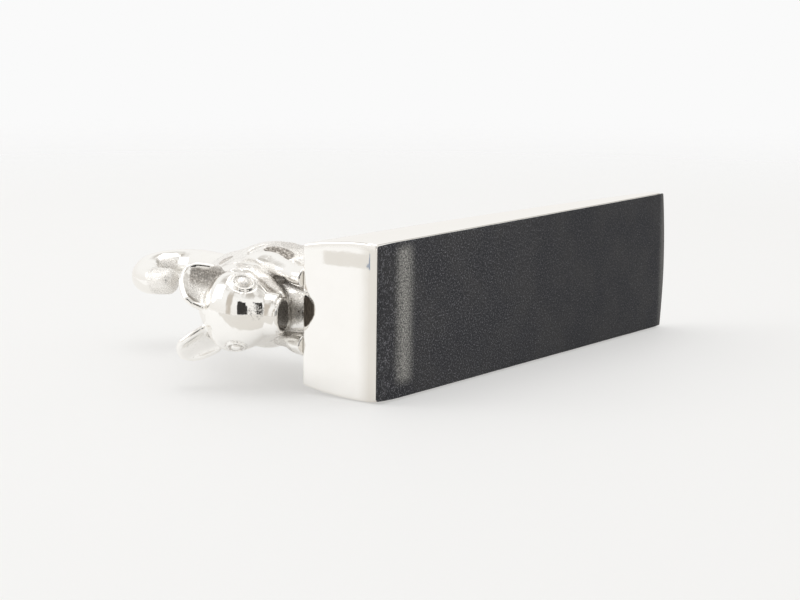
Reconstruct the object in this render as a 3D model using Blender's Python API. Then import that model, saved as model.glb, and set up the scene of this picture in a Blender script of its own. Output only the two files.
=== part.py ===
"""Cast wedge doorstop with a pig that stands head down over the thick end.

The part stands as it is used: the rubber sole lies on Z = 0, the thick end faces -Y and the
thin end +Y. X runs across. The origin is the middle of the sole's underside.
Sizes are metres. In the pig's own functions a place is written as x, back, up, in pig units: x
across, back from the wedge's end face, up from the level of the wedge's top edge. The ears are
written as x, along, out: along the head from the snout, and out to its forehead side.
"""
import math

import bmesh
import bpy
from mathutils import Matrix, Vector

MM = 0.001

# Wedge
LENGTH = 150.0 * MM
THICK_END = 24.8 * MM
THIN_END = 4.6 * MM
WIDEST_HALF = 20.55 * MM
WIDEST_LEVEL = 5.5 * MM
SIDE_RADIUS = 95.0 * MM
END_DRAW_IN = 0.02
END_DRAW_LENGTH = 9.0 * MM
END_DRAW_HEIGHT = 4.0 * MM
TIP_BOW = 1.6 * MM
CAST_EDGE = 1.1 * MM

# Sole
SOLE_THICKNESS = 0.8 * MM
SOLE_EDGE = 0.25 * MM
SOLE_INSET = 0.15 * MM
HEEL_FLAT = 8.7 * MM
HEEL_BEND = 14.0 * MM
HEEL_LIFT = 0.3 * MM
TOE_BEND = 5.0 * MM
TOE_LIFT = 0.5 * MM
GLUE_GAP = 0.3 * MM

# Screws
SCREW_RADIUS = 2.5 * MM
SCREW_HEAD_RADIUS = 4.25 * MM
SCREW_HEAD_HEIGHT = 5.0 * MM
SCREW_HEX_ACROSS = 4.0 * MM
SCREW_HEX_DEPTH = 2.5 * MM
SCREW_GRIP = 9.0 * MM
SCREW_CLEARANCE = 0.3 * MM
HEAD_RECESS = 1.0 * MM
FRONT_SCREW_BACK = 8.0 * MM
REAR_SCREW_BACK = 29.0 * MM

# Pig
PIG_UNIT = 1.0 * MM
SEAT_GAP = 0.3 * MM
LEG_SPREAD = 8.2 * MM
FRONT_LEG_LEAN = 1.3 * MM
FRONT_HOOF_BACK = 1.6 * MM
REAR_HOOF_BACK = 30.0 * MM
SNOUT_BACK = -6.2 * MM
SNOUT_UP = 1.5 * MM
SNOUT_RADIUS = 4.6 * MM
SNOUT_THICKNESS = 1.3 * MM
JOWL_RADIUS = 2.7 * MM
HEAD_TILT = math.radians(15.3)
EYE_SPREAD = 8.2 * MM
EYE_RADIUS = 1.9 * MM
EYE_RING_ACROSS = 2.4 * MM
EYE_RING_ALONG = 3.0 * MM
EYE_RING_WIRE = 0.5 * MM
EYE_FLATNESS = 0.6
EAR_ROOT = ((1.8, 19.5, 2.6), (5.5, 17.4, -2.9), (10.6, 20.0, -4.0))
EAR_MIDDLE = ((3.6, 22.6, 5.2), (7.4, 23.4, -1.0), (12.1, 24.4, -2.7))
EAR_TIP = ((5.4, 24.8, 6.3), (8.8, 27.8, 2.5), (12.3, 28.0, -0.9))
EAR_THICKNESS = 1.5
EAR_ROWS = 9
EAR_COLUMNS = 15
PIG_VOXEL = 0.6 * MM
PIG_SMOOTHING = 4
PIG_KEEP = 0.10

# Tail
TAIL_ROOT = (1.4 * MM, 32.0 * MM, 44.0 * MM)
TAIL_CURL_CENTRE = (0.35 * MM, 31.0 * MM, 70.1 * MM)
TAIL_CURL_RADIUS = 7.4 * MM
TAIL_CURL_SHIFT = 2.3 * MM
TAIL_ROOT_RADIUS = 5.6 * MM
TAIL_MIDDLE_RADIUS = 5.1 * MM
TAIL_TIP_RADIUS = 3.4 * MM
TAIL_CURL_START = math.radians(-35.0)
TAIL_CURL_END = math.radians(221.0)
TAIL_SOCKET_GAP = 0.3 * MM

END_Y = -LENGTH / 2
SLOPE = (THICK_END - THIN_END) / LENGTH


def clear_scene():
    """Removes every object that the file opened with."""
    for obj in list(bpy.data.objects):
        bpy.data.objects.remove(obj, do_unlink=True)


def make_material(name, colour, metallic, roughness):
    """One Principled material with the finish of a piece."""
    material = bpy.data.materials.new(name)
    material.use_nodes = True
    shader = material.node_tree.nodes["Principled BSDF"]
    shader.inputs["Base Color"].default_value = (*colour, 1.0)
    shader.inputs["Metallic"].default_value = metallic
    shader.inputs["Roughness"].default_value = roughness
    return material


def add_object(name, mesh, material):
    """Links a mesh as an object that carries one material."""
    obj = bpy.data.objects.new(name, mesh)
    bpy.context.scene.collection.objects.link(obj)
    mesh.materials.clear()
    mesh.materials.append(material)
    return obj


def mesh_from(bm, name):
    """Turns a bmesh into a closed mesh whose faces point out."""
    bmesh.ops.recalc_face_normals(bm, faces=bm.faces)
    mesh = bpy.data.meshes.new(name)
    bm.to_mesh(mesh)
    bm.free()
    return mesh


def loft(bm, rings):
    """Skins equal rings of points and closes both ends with a fan."""
    count = len(rings[0])
    rows = [[bm.verts.new(point) for point in ring] for ring in rings]
    for lower, upper in zip(rows, rows[1:]):
        for i in range(count):
            j = (i + 1) % count
            bm.faces.new((lower[i], lower[j], upper[j], upper[i]))
    for row in (rows[0], rows[-1]):
        middle = bm.verts.new(sum((v.co for v in row), Vector()) / count)
        for i in range(count):
            bm.faces.new((row[i], row[(i + 1) % count], middle))
    return rows


def finished_mesh(obj, name):
    """Applies an object's modifiers and removes the object."""
    graph = bpy.context.evaluated_depsgraph_get()
    graph.update()
    mesh = bpy.data.meshes.new_from_object(obj.evaluated_get(graph))
    mesh.name = name
    bpy.data.objects.remove(obj, do_unlink=True)
    return mesh


def cutter(name, bm):
    """A hidden solid for a Boolean."""
    obj = bpy.data.objects.new(name, mesh_from(bm, name))
    bpy.context.scene.collection.objects.link(obj)
    obj.hide_render = True
    obj.display_type = "WIRE"
    return obj


def add_boolean(obj, other, operation):
    """Joins to, or cuts from, an object with an exact Boolean."""
    modifier = obj.modifiers.new(other.name, "BOOLEAN")
    modifier.operation = operation
    modifier.solver = "EXACT"
    modifier.object = other


def smooth_shade(obj, degrees=38.0):
    """Shades a piece smooth and keeps its crisp edges."""
    obj.data.shade_smooth()
    obj.data.set_sharp_from_angle(angle=math.radians(degrees))


def underside(back):
    """Height of the sole's underside: flat, with both ends bent up."""
    if back < HEEL_BEND:
        steep = HEEL_LIFT / (HEEL_FLAT + (HEEL_BEND - HEEL_FLAT) / 2)
        if back < HEEL_FLAT:
            return HEEL_LIFT - steep * back
        left = HEEL_BEND - back
        return steep * left * left / (2 * (HEEL_BEND - HEEL_FLAT))
    left = back - (LENGTH - TOE_BEND)
    if left > 0:
        return TOE_LIFT * (left / TOE_BEND) ** 2
    return 0.0


def wedge_top(back):
    """Height of the wedge's sloping top."""
    return THICK_END - SLOPE * back


def corner_factor(back, height):
    """How far the lower corners of the thick end are drawn in."""
    if back >= END_DRAW_LENGTH or height >= END_DRAW_HEIGHT:
        return 1.0
    along = 1.0 - back / END_DRAW_LENGTH
    down = 1.0 - height / END_DRAW_HEIGHT
    return 1.0 - END_DRAW_IN * along * along * down


def side_half(back, height):
    """Half the width of the wedge at a height: the sides are arcs."""
    off = height - WIDEST_LEVEL
    sagitta = SIDE_RADIUS - math.sqrt(SIDE_RADIUS ** 2 - off * off)
    return (WIDEST_HALF - sagitta) * corner_factor(back, height)


def stations():
    """Places along the wedge where its section is drawn."""
    heel = [0.0, 2.5, 5.5, HEEL_FLAT / MM]
    bend = [HEEL_FLAT / MM + (HEEL_BEND - HEEL_FLAT) / MM * i / 4 for i in (1, 2, 3, 4)]
    middle = [HEEL_BEND / MM + (LENGTH - TOE_BEND - HEEL_BEND) / MM * i / 5 for i in range(1, 6)]
    toe = [(LENGTH - TOE_BEND * (1 - i / 4)) / MM for i in range(1, 5)]
    return [value * MM for value in heel + bend + middle + toe]


def bowed(back, x):
    """The thin end is bowed outwards in plan; the bow fades along the wedge."""
    start = LENGTH * 0.75
    if back <= start:
        return back
    share = (back - start) / (LENGTH - start)
    return back - TIP_BOW * share * (x / WIDEST_HALF) ** 2


def prism_ring(back, low, high, inset=0.0, steps=6):
    """One section of the wedge, or of its sole, between two heights."""
    side = [low + (high - low) * i / steps for i in range(steps + 1)]
    right = [(side_half(back, z) - inset, z) for z in side]
    floor = [(-right[0][0] + 2 * right[0][0] * i / steps, low) for i in range(1, steps)]
    roof = [(right[-1][0] - 2 * right[-1][0] * i / steps, high) for i in range(1, steps)]
    left = [(-x, z) for x, z in reversed(right)]
    outline = floor + right + roof + left
    return [Vector((x, END_Y + bowed(back, x), z)) for x, z in outline]


def add_bevel(obj, width, segments):
    """Rounds the edges where faces meet at an angle."""
    modifier = obj.modifiers.new("cast_edges", "BEVEL")
    modifier.width = width
    modifier.segments = segments
    modifier.limit_method = "ANGLE"
    modifier.angle_limit = math.radians(35.0)
    modifier.use_clamp_overlap = True


def lathe(bm, profile, centre, segments=24):
    """Spins a profile of radius and height pairs about a vertical axis."""
    rings = []
    for radius, height in profile:
        turn = [2 * math.pi * i / segments for i in range(segments)]
        rings.append([centre + Vector((radius * math.cos(t), radius * math.sin(t), height)) for t in turn])
    loft(bm, rings)


def screw_places():
    """The two screws as distance back, head seat height and shank end height."""
    places = []
    for back in (FRONT_SCREW_BACK, REAR_SCREW_BACK):
        bottom = underside(back) + SOLE_THICKNESS + GLUE_GAP
        head = bottom + HEAD_RECESS
        end = wedge_top(back) + SCREW_GRIP
        places.append((back, head, end))
    return places


def make_wedge(material):
    """The solid cast wedge with its two counterbored screw holes."""
    bm = bmesh.new()
    lift = SOLE_THICKNESS + GLUE_GAP
    loft(bm, [prism_ring(b, underside(b) + lift, wedge_top(b)) for b in stations()])
    wedge = add_object("wedge_body", mesh_from(bm, "wedge_body"), material)
    add_bevel(wedge, CAST_EDGE, 4)
    for number, (back, head, end) in enumerate(screw_places()):
        bm = bmesh.new()
        wide = SCREW_HEAD_RADIUS + SCREW_CLEARANCE
        narrow = SCREW_RADIUS + SCREW_CLEARANCE
        seat = head + SCREW_HEAD_HEIGHT + SCREW_CLEARANCE
        profile = [(wide, -THICK_END), (wide, seat), (narrow, seat), (narrow, end + THICK_END)]
        lathe(bm, profile, Vector((0.0, END_Y + back, 0.0)))
        add_boolean(wedge, cutter("screw_hole_%d" % (number + 1), bm), "DIFFERENCE")
    smooth_shade(wedge)
    return wedge


def make_sole(material):
    """The rubber sheet, cut to the wedge's plan and bent up at its ends."""
    bm = bmesh.new()
    rings = [prism_ring(b, underside(b), underside(b) + SOLE_THICKNESS, SOLE_INSET, 3) for b in stations()]
    loft(bm, rings)
    sole = add_object("rubber_sole", mesh_from(bm, "rubber_sole"), material)
    add_bevel(sole, SOLE_EDGE, 2)
    smooth_shade(sole)
    return sole


def make_screw(name, material, back, head, end):
    """One socket-head screw, put in from below."""
    bm = bmesh.new()
    centre = Vector((0.0, END_Y + back, 0.0))
    top = head + SCREW_HEAD_HEIGHT
    chamfer = SCREW_RADIUS * 0.25
    rim = SCREW_HEAD_RADIUS * 0.1
    profile = [
        (SCREW_HEAD_RADIUS - rim, head),
        (SCREW_HEAD_RADIUS, head + rim),
        (SCREW_HEAD_RADIUS, top),
        (SCREW_RADIUS, top),
        (SCREW_RADIUS, end - chamfer),
        (SCREW_RADIUS - chamfer, end),
    ]
    lathe(bm, profile, centre)
    screw = add_object(name, mesh_from(bm, name), material)
    socket = bmesh.new()
    corner = SCREW_HEX_ACROSS / math.sqrt(3.0)
    lathe(socket, [(corner, head - SCREW_HEX_DEPTH), (corner, head + SCREW_HEX_DEPTH)], centre, 6)
    add_boolean(screw, cutter(name + "_hex", socket), "DIFFERENCE")
    smooth_shade(screw)
    return screw


def place(x, back, up):
    """A point of the pig, from its own units across, back and up."""
    return Vector((x * PIG_UNIT, END_Y + back * PIG_UNIT, THICK_END + up * PIG_UNIT))


def tube_rings(points, radii, segments=20, domes=(1.0, 1.0)):
    """Elliptical rings along a run of points, with a dome at each end.

    The radii are pairs: across, and in the plane of travel. A dome's depth is given as a share
    of the smaller radius there.
    """
    rings = []
    last = len(points) - 1
    for i, point in enumerate(points):
        ahead = (points[min(i + 1, last)] - points[max(i - 1, 0)]).normalized()
        across = Vector((1.0, 0.0, 0.0))
        across = (across - ahead * across.dot(ahead)).normalized()
        out = ahead.cross(across)
        wide, deep = radii[i]
        ring = []
        for k in range(segments):
            t = 2 * math.pi * k / segments
            ring.append(point + across * (wide * math.cos(t)) + out * (deep * math.sin(t)))
        rings.append(ring)
    first = (points[0] - points[1]).normalized()
    final = (points[-1] - points[-2]).normalized()
    start = dome_rings(points[0], rings[0], first, min(radii[0]) * domes[0])
    end = dome_rings(points[-1], rings[-1], final, min(radii[-1]) * domes[1])
    return list(reversed(start)) + rings + end


def dome_rings(point, ring, direction, depth):
    """Shrinking rings that round off the end of a tube."""
    extra = []
    for share in (0.5, 0.8, 0.96):
        shrink = math.sqrt(1 - share * share)
        extra.append([point + direction * (depth * share) + (p - point) * shrink for p in ring])
    return extra


def limb(bm, stops, domes=(1.0, 1.0)):
    """A lofted form through stops of x, back, up, half width and half depth."""
    points = [place(x, back, up) for x, back, up, wide, deep in stops]
    radii = [(wide * PIG_UNIT, deep * PIG_UNIT) for x, back, up, wide, deep in stops]
    loft(bm, tube_rings(points, radii, domes=domes))


def ball(bm, centre, radii, tilt=0.0):
    """An ellipsoid at a place, tipped about the X axis."""
    size = Matrix.Diagonal((*(Vector(radii) * PIG_UNIT), 1.0))
    matrix = Matrix.Translation(place(*centre)) @ Matrix.Rotation(tilt, 4, "X") @ size
    bmesh.ops.create_uvsphere(bm, u_segments=20, v_segments=12, radius=1.0, matrix=matrix)


def head_point(along, out, x=0.0):
    """A place on the head: along it from the snout, and out to its forehead side."""
    s, c = math.sin(HEAD_TILT), math.cos(HEAD_TILT)
    back = SNOUT_BACK / PIG_UNIT - along * s - out * c
    up = SNOUT_UP / PIG_UNIT + along * c - out * s
    return x, back, up


def body_form(bm):
    """The plump trunk from chest to rump, and the neck."""
    limb(bm, [
        (0, 4.6, 13.6, 7.2, 6.8),
        (0, 8.0, 18.3, 9.8, 10.4),
        (0, 12.4, 23.4, 11.0, 13.2),
        (0, 17.5, 29.5, 11.2, 14.6),
        (0, 22.6, 35.6, 11.2, 14.0),
        (0, 26.6, 40.6, 10.6, 11.8),
        (0, 29.6, 44.8, 8.8, 9.0),
    ])
    limb(bm, [
        (0, 9.6, 27.0, 10.5, 10.8),
        (0, 2.6, 24.8, 10.5, 9.9),
        (0, -4.0, 20.8, 10.0, 7.8),
    ])


def head_form(bm):
    """The head from behind the snout's disc to the crown, with its jaw and jowls."""
    limb(bm, [
        (*head_point(1.3, 0.0), 4.4, 4.4),
        (*head_point(4.0, 0.0), 5.2, 4.8),
        (*head_point(6.8, 0.2), 6.3, 5.5),
        (*head_point(9.2, 0.4), 8.3, 6.9),
        (*head_point(12.0, 0.3), 10.1, 8.0),
        (*head_point(14.5, -0.1), 10.6, 7.7),
        (*head_point(16.4, -1.0), 9.9, 6.0),
    ], (0.1, 0.6))
    limb(bm, [
        (*head_point(3.6, -3.4), 4.6, 2.6),
        (*head_point(8.0, -4.8), 6.0, 3.7),
        (*head_point(13.0, -6.0), 9.2, 5.5),
        (*head_point(17.0, -7.0), 10.6, 6.2),
    ])
    for side in (-1, 1):
        thick = JOWL_RADIUS / PIG_UNIT
        limb(bm, [
            (side * 7.6, 2.0, 25.6, thick * 0.9, thick * 0.9),
            (side * 8.4, 0.8, 21.6, thick, thick),
            (side * 8.0, 0.2, 17.2, thick, thick),
            (side * 7.0, -0.2, 13.4, thick, thick),
            (side * 5.3, -0.9, 10.0, thick, thick),
            (side * 3.9, -1.9, 6.6, thick * 0.9, thick * 0.9),
        ])


def leg_forms(bm):
    """Four legs with their shoulders and hams, and the webs that the screws go into."""
    for side in (-1, 1):
        spread = side * LEG_SPREAD / PIG_UNIT
        front = FRONT_HOOF_BACK / PIG_UNIT
        rear = REAR_HOOF_BACK / PIG_UNIT
        lean = FRONT_LEG_LEAN / PIG_UNIT if side > 0 else 0.0
        ball(bm, (side * 7.4 + lean, 8.8, 19.2), (4.9, 6.0, 8.3), math.radians(-25))
        limb(bm, [
            (side * 7.8 + 1.8 * lean, front + 6.2, 15.8, 3.2, 4.6),
            (side * 7.8 + 1.8 * lean, front + 4.2, 10.4, 2.5, 3.7),
            (side * 7.8 + 1.5 * lean, front + 2.4, 6.2, 2.3, 3.2),
            (spread + lean, front + 1.4, 3.0, 2.7, 3.5),
            (spread + lean, front + 0.7, -1.6, 3.0, 4.1),
        ])
        ball(bm, (side * 8.0, 26.0, 28.5), (6.2, 11.0, 13.4), math.radians(-20))
        ball(bm, (side * 8.2, 27.6, 17.0), (5.6, 8.0, 9.0), math.radians(-8))
        limb(bm, [
            (side * 8.8, rear - 1.6, 12.0, 4.6, 5.8),
            (side * 8.8, rear - 0.6, 5.0, 3.8, 4.6),
            (side * 8.8, rear - 0.4, 1.0, 3.6, 4.3),
            (spread + side * 0.6, rear - 0.6, -2.6, 3.8, 4.7),
            (spread + side * 0.6, rear - 0.8, -9.0, 3.8, 4.8),
        ])
    web = FRONT_SCREW_BACK / PIG_UNIT
    limb(bm, [(0, web, 16.0, 7.6, 5.0), (0, web, -3.0, 7.2, 4.6)])
    web = REAR_SCREW_BACK / PIG_UNIT
    limb(bm, [(0, web - 1.5, 22.0, 7.0, 7.0), (0, web - 0.4, 8.0, 5.4, 5.2), (0, web, -9.0, 5.2, 4.6)])


def share_weights(share):
    """Weights of three stops for a smooth curve through them."""
    return 2 * (share - 0.5) * (share - 1), -4 * share * (share - 1), 2 * share * (share - 0.5)


def ear_place(side, rise, turn):
    """A place on the middle sheet of an ear: rise from root to tip, turn from inner to outer rim."""
    total = Vector()
    for row, up in zip((EAR_ROOT, EAR_MIDDLE, EAR_TIP), share_weights(rise)):
        for (x, along, out), across in zip(row, share_weights(turn)):
            total += place(*head_point(along, out, side * x)) * (up * across)
    return total


def ear_pair(side, rise, turn):
    """Places on the hollow face and on the back of an ear."""
    step = 0.01
    up = ear_place(side, rise + step, turn) - ear_place(side, rise - step, turn)
    over = ear_place(side, rise, turn + step) - ear_place(side, rise, turn - step)
    away = up.cross(over).normalized() * (EAR_THICKNESS * PIG_UNIT / 2)
    middle = ear_place(side, rise, turn)
    return middle + away, middle - away


def ear_form(bm, side):
    """A closed, cupped shell that stands on the crown, hollow side to the front."""
    rises = [i / (EAR_ROWS - 1) for i in range(EAR_ROWS)]
    turns = [j / (EAR_COLUMNS - 1) for j in range(EAR_COLUMNS)]
    pairs = [[ear_pair(side, rise, turn) for turn in turns] for rise in rises]
    faces = []
    for layer in (0, 1):
        sheet = [[bm.verts.new(pair[layer]) for pair in row] for row in pairs]
        faces.append(sheet)
        for i in range(EAR_ROWS - 1):
            for j in range(EAR_COLUMNS - 1):
                bm.faces.new((sheet[i][j], sheet[i][j + 1], sheet[i + 1][j + 1], sheet[i + 1][j]))
    last_row = EAR_ROWS - 1
    last_column = EAR_COLUMNS - 1
    edge = [(0, j) for j in range(EAR_COLUMNS)] + [(i, last_column) for i in range(1, EAR_ROWS)]
    edge += [(last_row, j) for j in range(last_column - 1, -1, -1)]
    edge += [(i, 0) for i in range(last_row - 1, 0, -1)]
    front, behind = faces
    for (i, j), (k, m) in zip(edge, edge[1:] + edge[:1]):
        bm.faces.new((front[i][j], front[k][m], behind[k][m], behind[i][j]))


def snout_disc(bm):
    """The flat disc that ends the muzzle, with a rounded rim."""
    middle = place(*head_point(0.0, 0.0))
    turn = Matrix.Rotation(HEAD_TILT, 4, "X")
    rim = SNOUT_THICKNESS * 0.3
    profile = [
        (SNOUT_RADIUS - rim, 0.0),
        (SNOUT_RADIUS, rim),
        (SNOUT_RADIUS, SNOUT_THICKNESS - rim),
        (SNOUT_RADIUS - rim, SNOUT_THICKNESS),
        (SNOUT_RADIUS * 0.7, SNOUT_THICKNESS + rim / 2),
    ]
    first = len(bm.verts)
    lathe(bm, profile, Vector(), 28)
    bm.verts.ensure_lookup_table()
    for vert in bm.verts[first:]:
        vert.co = middle + turn @ vert.co


def eye_forms(bm):
    """Each eye: a raised ball inside a ring, on the side of the head."""
    for side in (-1, 1):
        centre = place(*head_point(10.9, 4.1, side * EYE_SPREAD / PIG_UNIT))
        outward = Vector((side * 0.72, -0.62, -0.30)).normalized()
        turn = outward.to_track_quat("Z", "Y").to_matrix().to_4x4()
        matrix = Matrix.Translation(centre) @ turn @ Matrix.Scale(EYE_FLATNESS, 4, (0, 0, 1))
        bmesh.ops.create_uvsphere(bm, u_segments=14, v_segments=8, radius=EYE_RADIUS, matrix=matrix)
        ring_bm = []
        for i in range(20):
            t = 2 * math.pi * i / 20
            hub = Vector((EYE_RING_ACROSS * math.cos(t), EYE_RING_ALONG * math.sin(t), 0.0))
            away = hub.normalized()
            ring = []
            for k in range(8):
                s = 2 * math.pi * k / 8
                rise = Vector((0.0, 0.0, EYE_RING_WIRE * math.sin(s)))
                ring.append(hub + away * (EYE_RING_WIRE * math.cos(s)) + rise)
            ring_bm.append([bm.verts.new(Matrix.Translation(centre) @ turn @ p) for p in ring])
        for lower, upper in zip(ring_bm, ring_bm[1:] + ring_bm[:1]):
            for k in range(8):
                m = (k + 1) % 8
                bm.faces.new((lower[k], lower[m], upper[m], upper[k]))


def seat_cutter():
    """Everything under the pig's soles: the wedge's top and the gap above it."""
    bm = bmesh.new()
    reach = LENGTH / 2
    rings = []
    for x in (-reach, reach):
        ring = []
        for back, low in ((-reach, True), (reach, True), (reach, False), (-reach, False)):
            z = -THICK_END if low else wedge_top(back) + SEAT_GAP
            ring.append(Vector((x, END_Y + back, z)))
        rings.append(ring)
    loft(bm, rings)
    return cutter("pig_seat", bm)


def make_pig(material):
    """The pig: lofted forms melted into one casting, then the crisp parts and the holes."""
    bm = bmesh.new()
    body_form(bm)
    head_form(bm)
    leg_forms(bm)
    for side in (-1, 1):
        ear_form(bm, side)
    rough = bpy.data.objects.new("pig_forms", mesh_from(bm, "pig_forms"))
    bpy.context.scene.collection.objects.link(rough)
    remesh = rough.modifiers.new("melt", "REMESH")
    remesh.mode = "VOXEL"
    remesh.voxel_size = PIG_VOXEL
    soften = rough.modifiers.new("soften", "SMOOTH")
    soften.iterations = PIG_SMOOTHING
    thin = rough.modifiers.new("thin", "DECIMATE")
    thin.ratio = PIG_KEEP
    pig = add_object("pig_casting", finished_mesh(rough, "pig_casting"), material)
    add_boolean(pig, seat_cutter(), "DIFFERENCE")
    disc = bmesh.new()
    snout_disc(disc)
    add_boolean(pig, cutter("snout_disc", disc), "UNION")
    eyes = bmesh.new()
    eye_forms(eyes)
    add_boolean(pig, cutter("eyes", eyes), "UNION")
    for number, (back, head, end) in enumerate(screw_places()):
        bm = bmesh.new()
        radius = SCREW_RADIUS + SCREW_CLEARANCE
        lathe(bm, [(radius, 0.0), (radius, end + SCREW_CLEARANCE)], Vector((0.0, END_Y + back, 0.0)), 16)
        add_boolean(pig, cutter("screw_socket_%d" % (number + 1), bm), "DIFFERENCE")
    add_boolean(pig, tail_socket(), "DIFFERENCE")
    smooth_shade(pig, 50.0)
    return pig


def tail_axis():
    """Points along the tail: up out of the rump, then forward over the top of the curl."""
    corner = Vector((0.0, END_Y, THICK_END))
    centre = corner + Vector(TAIL_CURL_CENTRE)
    steps = 20
    curl = []
    for i in range(steps + 1):
        share = i / steps
        angle = TAIL_CURL_START + (TAIL_CURL_END - TAIL_CURL_START) * share
        flat = Vector((0.0, math.cos(angle), math.sin(angle))) * TAIL_CURL_RADIUS
        side = TAIL_CURL_SHIFT * (0.5 - share)
        curl.append(centre + flat + Vector((side, 0.0, 0.0)))
    root = corner + Vector(TAIL_ROOT)
    stem = [root.lerp(curl[0], i / 4) for i in range(4)]
    return stem + curl


def make_tail(material):
    """The curled tail; its root stands in a socket in the rump."""
    axis = tail_axis()
    last = len(axis) - 1
    radii = []
    for i in range(last + 1):
        share = i / last
        radius = TAIL_ROOT_RADIUS + (TAIL_MIDDLE_RADIUS - TAIL_ROOT_RADIUS) * min(share * 2, 1.0)
        fade = max(share * 3 - 2, 0.0)
        radius += (TAIL_TIP_RADIUS - TAIL_MIDDLE_RADIUS) * fade
        radii.append((radius, radius))
    bm = bmesh.new()
    loft(bm, tube_rings(axis, radii, 18))
    tail = add_object("tail_casting", mesh_from(bm, "tail_casting"), material)
    smooth_shade(tail, 60.0)
    return tail


def tail_socket():
    """The hole in the rump that takes the tail's root with a small gap."""
    axis = tail_axis()
    bm = bmesh.new()
    radius = TAIL_ROOT_RADIUS + TAIL_SOCKET_GAP
    loft(bm, tube_rings(axis[:5], [(radius, radius)] * 5, 18))
    return cutter("tail_socket", bm)


def build():
    clear_scene()
    nickel = make_material("polished_nickel", (0.86, 0.84, 0.80), 1.0, 0.12)
    rubber = make_material("black_rubber", (0.030, 0.030, 0.034), 0.0, 0.85)
    steel = make_material("zinc_steel", (0.62, 0.63, 0.65), 1.0, 0.35)
    make_wedge(nickel)
    make_sole(rubber)
    for name, (back, head, end) in zip(("fixing_screw_front", "fixing_screw_rear"), screw_places()):
        make_screw(name, steel, back, head, end)
    make_pig(nickel)
    make_tail(nickel)


build()
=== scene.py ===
"""Looks for the door wedge with a pig: polished nickel castings on a black rubber sole.

Everything is in metres in the CAD frame unless a heading says millimetres. The pig's own forms
are drawn in millimetres: across, back from the wedge's end face, and up from the level of the
wedge's top edge there.
"""
import math

import bpy
import numpy as np
from mathutils import Matrix, Vector
from mathutils.bvhtree import BVHTree


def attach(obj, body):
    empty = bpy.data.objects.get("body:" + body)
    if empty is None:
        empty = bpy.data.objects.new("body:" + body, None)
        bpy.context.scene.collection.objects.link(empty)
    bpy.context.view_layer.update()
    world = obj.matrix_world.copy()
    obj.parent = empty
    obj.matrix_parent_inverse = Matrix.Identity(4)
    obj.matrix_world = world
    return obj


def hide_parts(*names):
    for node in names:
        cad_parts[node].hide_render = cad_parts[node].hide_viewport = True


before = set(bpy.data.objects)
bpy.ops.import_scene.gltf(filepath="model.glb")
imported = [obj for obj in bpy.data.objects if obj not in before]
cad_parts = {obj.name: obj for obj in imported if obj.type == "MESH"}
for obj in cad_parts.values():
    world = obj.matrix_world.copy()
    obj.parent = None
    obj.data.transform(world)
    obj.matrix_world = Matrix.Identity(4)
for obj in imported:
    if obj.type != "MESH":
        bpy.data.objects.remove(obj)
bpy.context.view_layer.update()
bpy.context.scene.view_settings.view_transform = "Standard"

MM = 0.001

# Wedge and sole, in millimetres
LENGTH = 150.0
THICK_END = 24.8
THIN_END = 4.6
WIDEST_HALF = 20.55
WIDEST_LEVEL = 5.5
SIDE_RADIUS = 95.0
END_DRAW_IN = 0.02
END_DRAW_LENGTH = 9.0
END_DRAW_HEIGHT = 4.0
TIP_BOW = 1.6
TIP_BOW_START = 0.75 * LENGTH
CAST_EDGE = 0.8
SOLE_THICKNESS = 0.8
SOLE_EDGE = 0.3
SOLE_INSET = 0.15
HEEL_FLAT = 8.7
HEEL_BEND = 14.0
HEEL_LIFT = 0.3
TOE_BEND = 5.0
TOE_LIFT = 0.5
GLUE_LINE = 0.06
SEAT_GAP = 0.05
END_Y = -LENGTH / 2
SLOPE = (THICK_END - THIN_END) / LENGTH
BLOCK_STEPS = (36, 96, 20)
EDGE_STEPS = 4

# Painted highlight along the rubber's bend at the heel, and at its toe
RIDGE_BACK = 10.8 * MM
RIDGE_FADE = (0.2 * MM, 5.4 * MM)
RIDGE_ENDS = ((-18.0 * MM, -14.0 * MM), (17.0 * MM, 20.6 * MM))
TOE_PAINTED_HIGHLIGHT = (1.2 * MM, 5.0 * MM)

# Tail, in millimetres
TAIL_PATH = [
    (1.4, 32.0, 41.0), (1.5, 32.6, 48.0), (1.7, 34.6, 55.0), (1.7, 37.0, 62.0), (1.5, 38.2, 68.0),
    (1.1, 37.0, 73.9), (0.4, 33.0, 77.7), (-0.4, 28.2, 77.1), (-0.8, 24.6, 73.0), (-0.7, 23.4, 67.6),
    (-0.4, 24.4, 63.0),
]
TAIL_ROOT_RADIUS = 5.4
TAIL_MIDDLE_RADIUS = 5.1
TAIL_TIP_RADIUS = 3.6
TAIL_THINS_FROM = 0.62
TAIL_END_DOMES = (0.04, 0.045)

# Pig, in millimetres
SNOUT = (-4.0, 3.04)
HEAD_TILT = math.radians(15.3)
DISC_RADIUS = 4.65
DISC_DEPTH = 1.3
PIG_LOW = (-15.6, -24.0, -6.5)
PIG_HIGH = (15.6, 45.0, 53.0)
CELL = 0.36
BLOCK_CELLS = 4
BLOCK_MARGIN = 1.6
LEAF_STEPS = 30
FAR = 50.0

# Photograph's camera, and the table that the wedge lies on there
CAMERA_LENS = 103.5
CAMERA_PLACE = Vector((0.10022, -0.54160, -0.33168))
CAMERA_RIGHT = Vector((0.0119, 0.5739, -0.8188))
CAMERA_UP = Vector((0.9868, 0.1256, 0.1024))
CAMERA_BACK = Vector((0.1616, -0.8092, -0.5648))
TABLE_X = -20.75 * MM
TABLE_FADES = (0.28, 0.80)
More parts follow.
